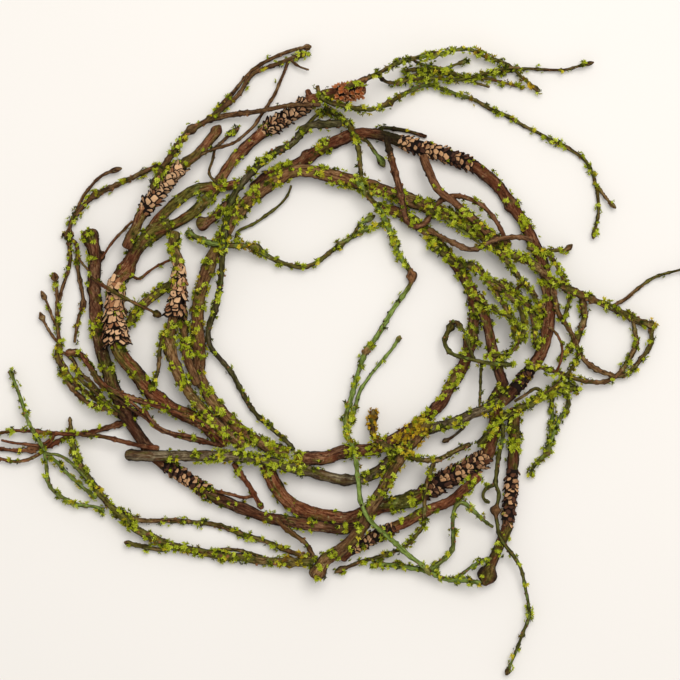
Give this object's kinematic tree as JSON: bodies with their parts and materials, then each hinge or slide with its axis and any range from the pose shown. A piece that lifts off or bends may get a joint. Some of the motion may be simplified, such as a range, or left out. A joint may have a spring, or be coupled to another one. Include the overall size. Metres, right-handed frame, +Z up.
{
  "type": "moss candle ring",
  "caption": "Loose flat wreath of bent woody vines, mossy twigs and flaky bark sleeves round an open centre that takes a pillar candle.",
  "frame": {"origin": "on the surface that the wreath lies on, under the middle of its outline", "axes": "+Z up out of the surface, towards the viewer; +X to the right and +Y to the top of the picture"},
  "size_m": [0.4263, 0.3812, 0.0309],
  "materials": {
    "brown_bark": "dry reddish-brown vine bark, rough",
    "dark_bark": "dry dark brown vine bark, rough",
    "mossy_bark": "olive bark under tufts of yellow-green moss, rough",
    "grey_bark": "grey-brown bark with lichen, rough",
    "tan_flakes": "pale tan curled bark flakes, matte",
    "dark_flakes": "brown bark flakes with dark gaps, matte"
  },
  "bodies": {
    "root": {"bottom_vine": "brown_bark", "right_arch_vine": "brown_bark", "inner_vine_left": "mossy_bark", "inner_vine_right": "dark_bark", "left_brown_twig": "brown_bark", "outer_left_vine": "dark_bark", "mossy_branch": "mossy_bark", "right_second_vine": "dark_bark", "trunk_left": "brown_bark", "inner_left_third": "mossy_bark", "lower_second_vine": "brown_bark", "inner_left_twigs": "mossy_bark", "lower_mossy_twig": "mossy_bark", "long_mossy_twig": "mossy_bark", "left_twig_fan": "brown_bark", "left_green_spray": "mossy_bark", "far_left_sprig": "mossy_bark", "left_outer_spray": "mossy_bark", "dark_cross_twig": "dark_bark", "brown_cross_twig": "brown_bark", "inner_left_second": "mossy_bark", "lower_left_link": "brown_bark", "bottom_cross_vine": "grey_bark", "right_lower_vine": "brown_bark", "curled_tendril": "brown_bark", "lower_diagonal_vine": "mossy_bark", "dark_stub": "dark_bark", "stub_left": "brown_bark", "hole_top_spray": "mossy_bark", "dark_strand": "dark_bark", "second_strand": "mossy_bark", "top_middle_spray": "mossy_bark", "tan_branch": "grey_bark", "inner_right_spray": "brown_bark", "right_moss_spray": "mossy_bark", "right_top_twig": "mossy_bark", "right_branch": "mossy_bark", "green_spray": "mossy_bark", "long_arch_spray": "mossy_bark", "top_right_spray": "mossy_bark", "lichen_stem": "grey_bark", "upper_left_spray": "mossy_bark", "ball_twig": "brown_bark", "bottom_right_spray": "mossy_bark", "ochre_twig": "mossy_bark", "hole_twig": "brown_bark", "chip_sleeve_bottom": "dark_flakes", "chip_sleeve_arch": "dark_flakes", "chip_sleeve_right": "dark_flakes", "chip_sleeve_outer": "dark_flakes", "chip_sleeve_trunk": "tan_flakes", "chip_sleeve_upper": "tan_flakes", "red_curled_flakes": "brown_bark", "chip_sleeve_lower": "dark_flakes", "chip_sleeve_inner": "tan_flakes", "chip_sleeve_corner": "dark_flakes", "chip_sleeve_left": "tan_flakes"}
  },
  "joints": []
}
